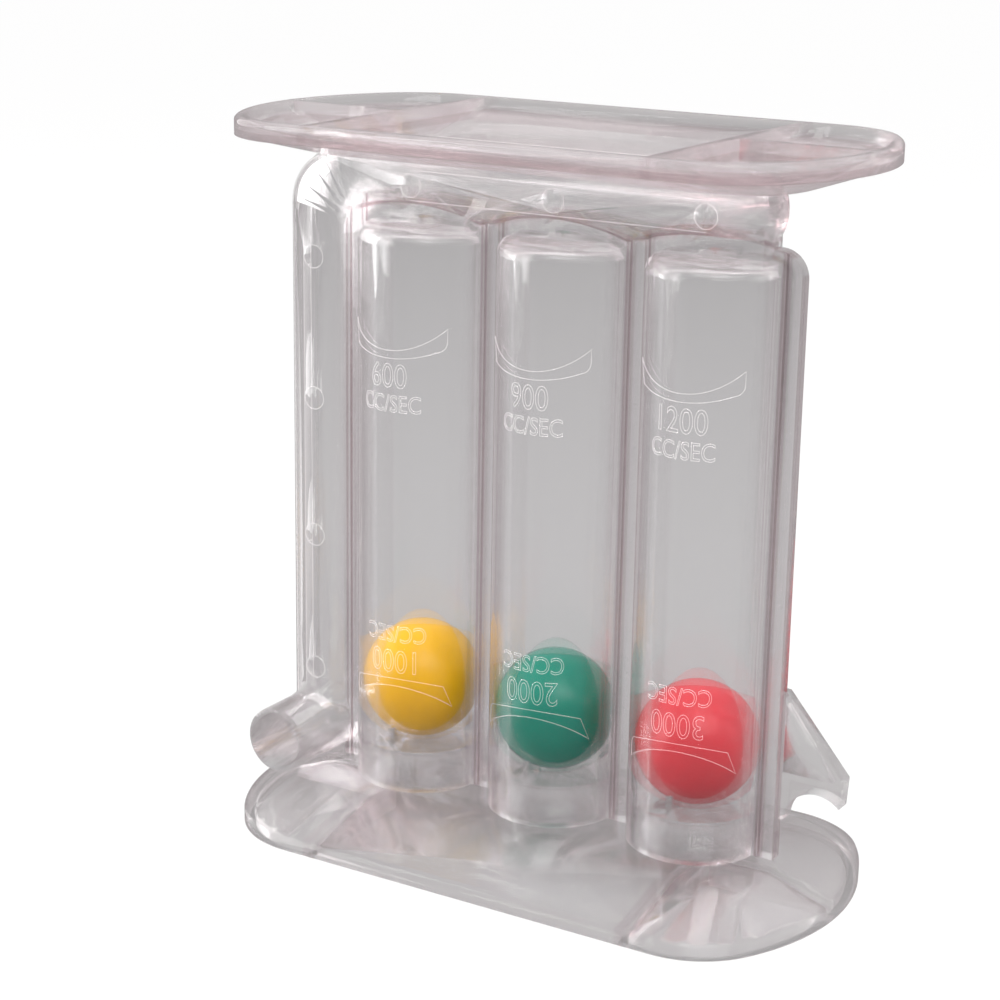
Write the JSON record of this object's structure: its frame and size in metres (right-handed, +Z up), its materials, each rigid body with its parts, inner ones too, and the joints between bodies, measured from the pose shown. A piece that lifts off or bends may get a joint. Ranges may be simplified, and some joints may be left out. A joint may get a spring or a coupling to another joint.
{
  "type": "incentive spirometer",
  "caption": "Clear breathing exerciser: two oval end plates, a bonded two-shell body with ball tubes and an air duct, coloured balls, a hose port and a mouthpiece holder.",
  "frame": {"origin": "middle of the base plate on the surface it stands on", "axes": "+X along the row of tubes towards the largest flow, -Y towards the user, +Z up"},
  "size_m": [0.132, 0.069, 0.148],
  "materials": {
    "clear_shell": "clear gloss",
    "clear_plate": "clear gloss",
    "clear_plug": "clear gloss",
    "yellow_plastic": "gloss",
    "green_plastic": "gloss",
    "red_plastic": "gloss"
  },
  "bodies": {
    "root": {"base_plate": "clear_plate", "top_plate": "clear_plate", "front_shell": "clear_shell", "rear_shell": "clear_shell", "left_tube_plug": "clear_plug", "middle_tube_plug": "clear_plug", "right_tube_plug": "clear_plug"},
    "yellow_ball": {"yellow_ball": "yellow_plastic"},
    "green_ball": {"green_ball": "green_plastic"},
    "red_ball": {"red_ball": "red_plastic"}
  },
  "joints": [
    {"name": "yellow_ball_rise", "type": "slide", "parent": "root", "child": "yellow_ball", "axis": [0, 0, 1], "range_m": [0, 0.083]},
    {"name": "green_ball_rise", "type": "slide", "parent": "root", "child": "green_ball", "axis": [0, 0, 1], "range_m": [0, 0.0832]},
    {"name": "red_ball_rise", "type": "slide", "parent": "root", "child": "red_ball", "axis": [0, 0, 1], "range_m": [0, 0.0833]}
  ]
}
